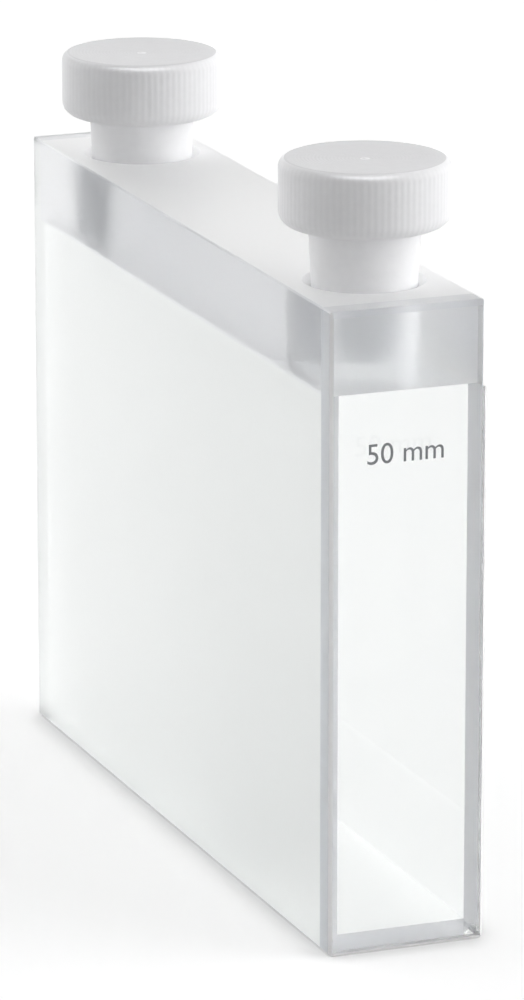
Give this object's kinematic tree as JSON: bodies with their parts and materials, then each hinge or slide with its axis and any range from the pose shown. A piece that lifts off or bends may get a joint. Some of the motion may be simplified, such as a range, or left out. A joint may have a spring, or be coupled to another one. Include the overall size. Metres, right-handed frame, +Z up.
{
  "type": "long-path cuvette",
  "caption": "Rectangular fused silica cell with clear end windows, ground side plates and round push-in stoppers in its top block.",
  "frame": {"origin": "centre of the cell's underside, on the surface that the cell stands on", "axes": "+Y along the light path from the front window to the rear window, +X across the cell towards its stepped side, +Z up"},
  "size_m": [0.0104, 0.053, 0.0475],
  "materials": {
    "polished_silica": "polished clear fused silica",
    "ground_silica": "fused silica ground matt white on its outer face",
    "satin_silica": "fused silica with finely ground, see-through satin faces",
    "ptfe": "turned white PTFE, waxy satin"
  },
  "bodies": {
    "cell": {"front_window": "polished_silica", "rear_window": "polished_silica", "left_side_plate": "ground_silica", "right_side_plate": "ground_silica", "base_plate": "polished_silica", "top_block": "satin_silica"},
    "front_plug": {"front_stopper": "ptfe"},
    "rear_plug": {"rear_stopper": "ptfe"}
  },
  "joints": [
    {"name": "front_stopper_lift", "type": "slide", "parent": "cell", "child": "front_plug", "axis": [0, 0, 1], "range_m": [0, 0.012]},
    {"name": "rear_stopper_lift", "type": "slide", "parent": "cell", "child": "rear_plug", "axis": [0, 0, 1], "range_m": [0, 0.012]}
  ]
}
